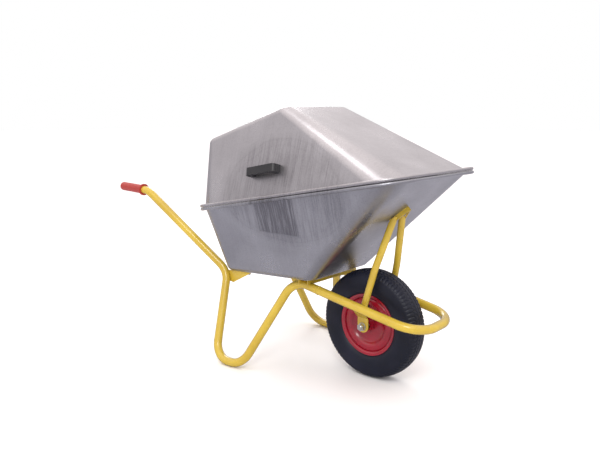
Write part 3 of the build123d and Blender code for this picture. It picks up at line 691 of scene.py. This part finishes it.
@dataclass
class RoadWheel:
    """Pneumatic wheel: treaded tyre, pressed rim, hub and bearings."""

    axle: Vector = field(default_factory=lambda: Vector((0.0, 0.0, 0.0)))
    tread_r: float = 0.2
    tread_from: float = 0.181
    tread_fade: float = 0.006
    groove: float = 0.0032
    rib_lines: tuple[float, ...] = (0.0075, 0.0225)
    rib_line_half: float = 0.0016
    shoulder_band: tuple[float, float] = (0.0265, 0.0455)
    shoulder_lean: float = 8.0
    shoulder_slot: float = 0.15
    shoulder_cut: float = 0.75
    sipe_band: tuple[float, float] = (0.0105, 0.0195)
    sipe_lean: float = 12.0
    sipe_slot: float = 0.07
    sipe_cut: float = 0.55
    lugs: int = 84
    steps_per_lug: int = 10

    def build(self) -> None:
        """Dress the wheel's metal and put the treaded tyre in place."""
        low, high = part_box("tyre")
        self.axle = (low + high) / 2
        self.tread_r = (high.x - low.x) / 2
        red = RIM_PAINT.material()
        for node in ("rim_barrel", "wheel_disc_right", "wheel_disc_left", "hub_tube"):
            dress_node(node, red)
        steel = BEARING_STEEL.material()
        for node in ("bearing_outer_rings", "bearing_inner_rings", "bearing_balls",
                     "bearing_shields", "bearing_spacer"):
            dress_node(node, steel)
        zinc = ZINC_PLATED.material()
        for node in ("axle_bolt", "axle_nut", "axle_washers", "axle_spacers"):
            dress_node(node, zinc, bevel=0.0004)
        dress_node("inner_tube", TUBE_RUBBER.material())
        dress_node("valve_stem", VALVE_RUBBER.material())
        dress_node("valve_cap", HANDLE_PLASTIC.material())
        rubber = TYRE_RUBBER.material()
        dress_node("tyre", rubber)
        self.tyre(rubber)

    def section(self) -> tuple[np.ndarray, np.ndarray]:
        """The tyre's outside and inside curves.

        Returns:
            Outside and inside points as radius and place across, in metres.
        """
        outside = [(0.1034, -0.0351), (0.1072, -0.0374), (0.1145, -0.0383), (0.1195, -0.0432),
                   (0.1300, -0.0480), (0.1500, -0.0500), (0.1680, -0.0485), (0.1800, -0.0460),
                   (0.1885, -0.0410), (0.1935, -0.0350), (0.1970, -0.0250), (0.1992, -0.0125),
                   (0.2000, 0.0)]
        outside += [(r, -y) for r, y in outside[-2::-1]]
        inside = [(0.1017, 0.0310), (0.1017, 0.0260), (0.1070, 0.0250), (0.1160, 0.0310),
                  (0.1300, 0.0400), (0.1500, 0.0430), (0.1770, 0.0380), (0.1860, 0.0280),
                  (0.1905, 0.0)]
        inside += [(r, -y) for r, y in inside[-2::-1]]
        return smooth_curve(outside, 6), smooth_curve(inside, 3)

    def cut(self, turn: float, across: float) -> float:
        """Depth of the tread pattern at one spot.

        Args:
            turn: Angle counted in lugs.
            across: Place across the tyre, in metres.

        Returns:
            Depth of the groove, 0 to 1.
        """
        place = abs(across)
        phase = turn % 1.0
        wave = self.rib_line_half * math.sin(2 * math.pi * turn)
        for line in self.rib_lines:
            if abs(place - line - wave) < self.rib_line_half:
                return 1.0
        low, high = self.shoulder_band
        if low < place < high:
            slot = 0.5 + 0.25 * (1 if across > 0 else -1) + self.shoulder_lean * (place - low)
            gap = abs((phase - slot + 0.5) % 1.0 - 0.5)
            return self.shoulder_cut if gap < self.shoulder_slot else 0.0
        low, high = self.sipe_band
        if low < place < high:
            gap = abs((phase - place * self.sipe_lean + 0.5) % 1.0 - 0.5)
            return self.sipe_cut if gap < self.sipe_slot else 0.0
        return 0.0

    def tyre(self, rubber: bpy.types.Material) -> None:
        """Make the tyre with its moulded ribs and shoulder lugs.

        Args:
            rubber: The tyre's finish.
        """
        outside, inside = self.section()
        scale = self.tread_r / 0.2
        steps = self.lugs * self.steps_per_lug
        rows = []
        for i in range(steps):
            turn = 2 * math.pi * i / steps
            lug = i / self.steps_per_lug
            for r, y in outside:
                depth = self.groove * self.cut(lug, y) if r > self.tread_from else 0.0
                reach = r * scale - depth * min(1.0, (r - self.tread_from) / self.tread_fade)
                rows.append((reach * math.sin(turn), y, reach * math.cos(turn)))
            for r, y in inside:
                rows.append((r * math.sin(turn), y, r * math.cos(turn)))
        points = np.array(rows) + np.array(self.axle[:])
        piece = mesh_piece("treaded_tyre", points, ring_faces(steps, len(outside) + len(inside)),
                           rubber, "wheel")
        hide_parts("tyre")


# ---------------------------------------------------------------- studio


@dataclass
class Studio:
    """Pale floor, soft lights and the camera."""

    camera_place: Point = (1.6475, -1.8164, 0.9388)
    camera_aim: Point = (-0.6486, 0.7418, -0.1704)
    lens: float = 37.3
    floor_half: float = 40.0
    wall_light: tuple[float, float, float, float] = (0.46, 0.455, 0.50, 1.0)
    ceiling_light: tuple[float, float, float, float] = (1.50, 1.40, 1.38, 1.0)
    backdrop: tuple[float, float, float, float] = (1.0, 1.0, 1.0, 1.0)

    def softbox(self, name: str, place: Point, aim: Point, width: float, power: float) -> None:
        """Hang one square soft light.

        Args:
            name: Name of the light.
            place: Where it hangs.
            aim: What it faces.
            width: Side of its square.
            power: Watts.
        """
        lamp = bpy.data.lights.new(name, "AREA")
        lamp.size = width
        lamp.energy = power
        piece = bpy.data.objects.new(name, lamp)
        piece.location = place
        piece.rotation_euler = (Vector(aim) - Vector(place)).to_track_quat("-Z", "Y").to_euler()
        bpy.context.scene.collection.objects.link(piece)

    def floor(self) -> None:
        """Lay the pale floor."""
        half = self.floor_half
        mesh = bpy.data.meshes.new("floor")
        corners = [(-half, -half, 0.0), (half, -half, 0.0), (half, half, 0.0), (-half, half, 0.0)]
        mesh.from_pydata(corners, [], [(0, 1, 2, 3)])
        material, tree, shader = open_material("pale_floor")
        shader.inputs["Roughness"].default_value = 0.9
        shader.inputs["Specular IOR Level"].default_value = 0.1
        mirrored = tree.nodes.new("ShaderNodeLightPath").outputs["Is Glossy Ray"]
        tone = blend_node(tree, mirrored, rgba(Tone.FLOOR_WHITE), rgba(Tone.FLOOR_MIRRORED))
        tree.links.new(tone, shader.inputs["Base Color"])
        mesh.materials.append(material)
        piece = bpy.data.objects.new("floor", mesh)
        bpy.context.scene.collection.objects.link(piece)

    def world(self) -> None:
        """Fill the room with even white light."""
        world = bpy.data.worlds.new("studio")
        world.use_nodes = True
        tree = world.node_tree
        shade = tree.nodes["Background"]
        height = tree.nodes.new("ShaderNodeSeparateXYZ")
        tree.links.new(tree.nodes.new("ShaderNodeTexCoord").outputs["Generated"], height.inputs[0])
        rise = span_node(tree, height.outputs["Z"], 0.0, 0.75)
        room = blend_node(tree, rise, self.wall_light, self.ceiling_light)
        seen = tree.nodes.new("ShaderNodeLightPath").outputs["Is Camera Ray"]
        tree.links.new(blend_node(tree, seen, room, self.backdrop), shade.inputs["Color"])
        bpy.context.scene.world = world

    def camera(self) -> None:
        """Place the camera at the viewing angle."""
        data = bpy.data.cameras.new("camera")
        data.lens = self.lens
        data.sensor_width = 36.0
        piece = bpy.data.objects.new("camera", data)
        piece.location = self.camera_place
        piece.rotation_mode = "QUATERNION"
        piece.rotation_quaternion = Vector(self.camera_aim).to_track_quat("-Z", "Y")
        bpy.context.scene.collection.objects.link(piece)
        bpy.context.scene.camera = piece

    def build(self) -> None:
        """Set up the whole studio."""
        self.camera()
        self.floor()
        self.world()
        middle = (0.1, 0.0, 0.5)
        self.softbox("top_light", (-0.2, -0.6, 3.6), middle, 0.9, 6.0)
        self.softbox("key_light", (2.0, -2.6, 3.0), middle, 1.2, 44.0)
        self.softbox("rear_light", (-2.4, 2.2, 2.6), middle, 1.6, 45.0)
        bpy.context.scene.view_settings.view_transform = "Standard"


def main() -> None:
    """Build every sub-assembly in order."""
    logging.basicConfig(level=logging.INFO, format="%(name)s: %(message)s")
    TubeFrame().build()
    PressedShells().build()
    RoadWheel().build()
    Studio().build()


if __name__ == "__main__":
    main()
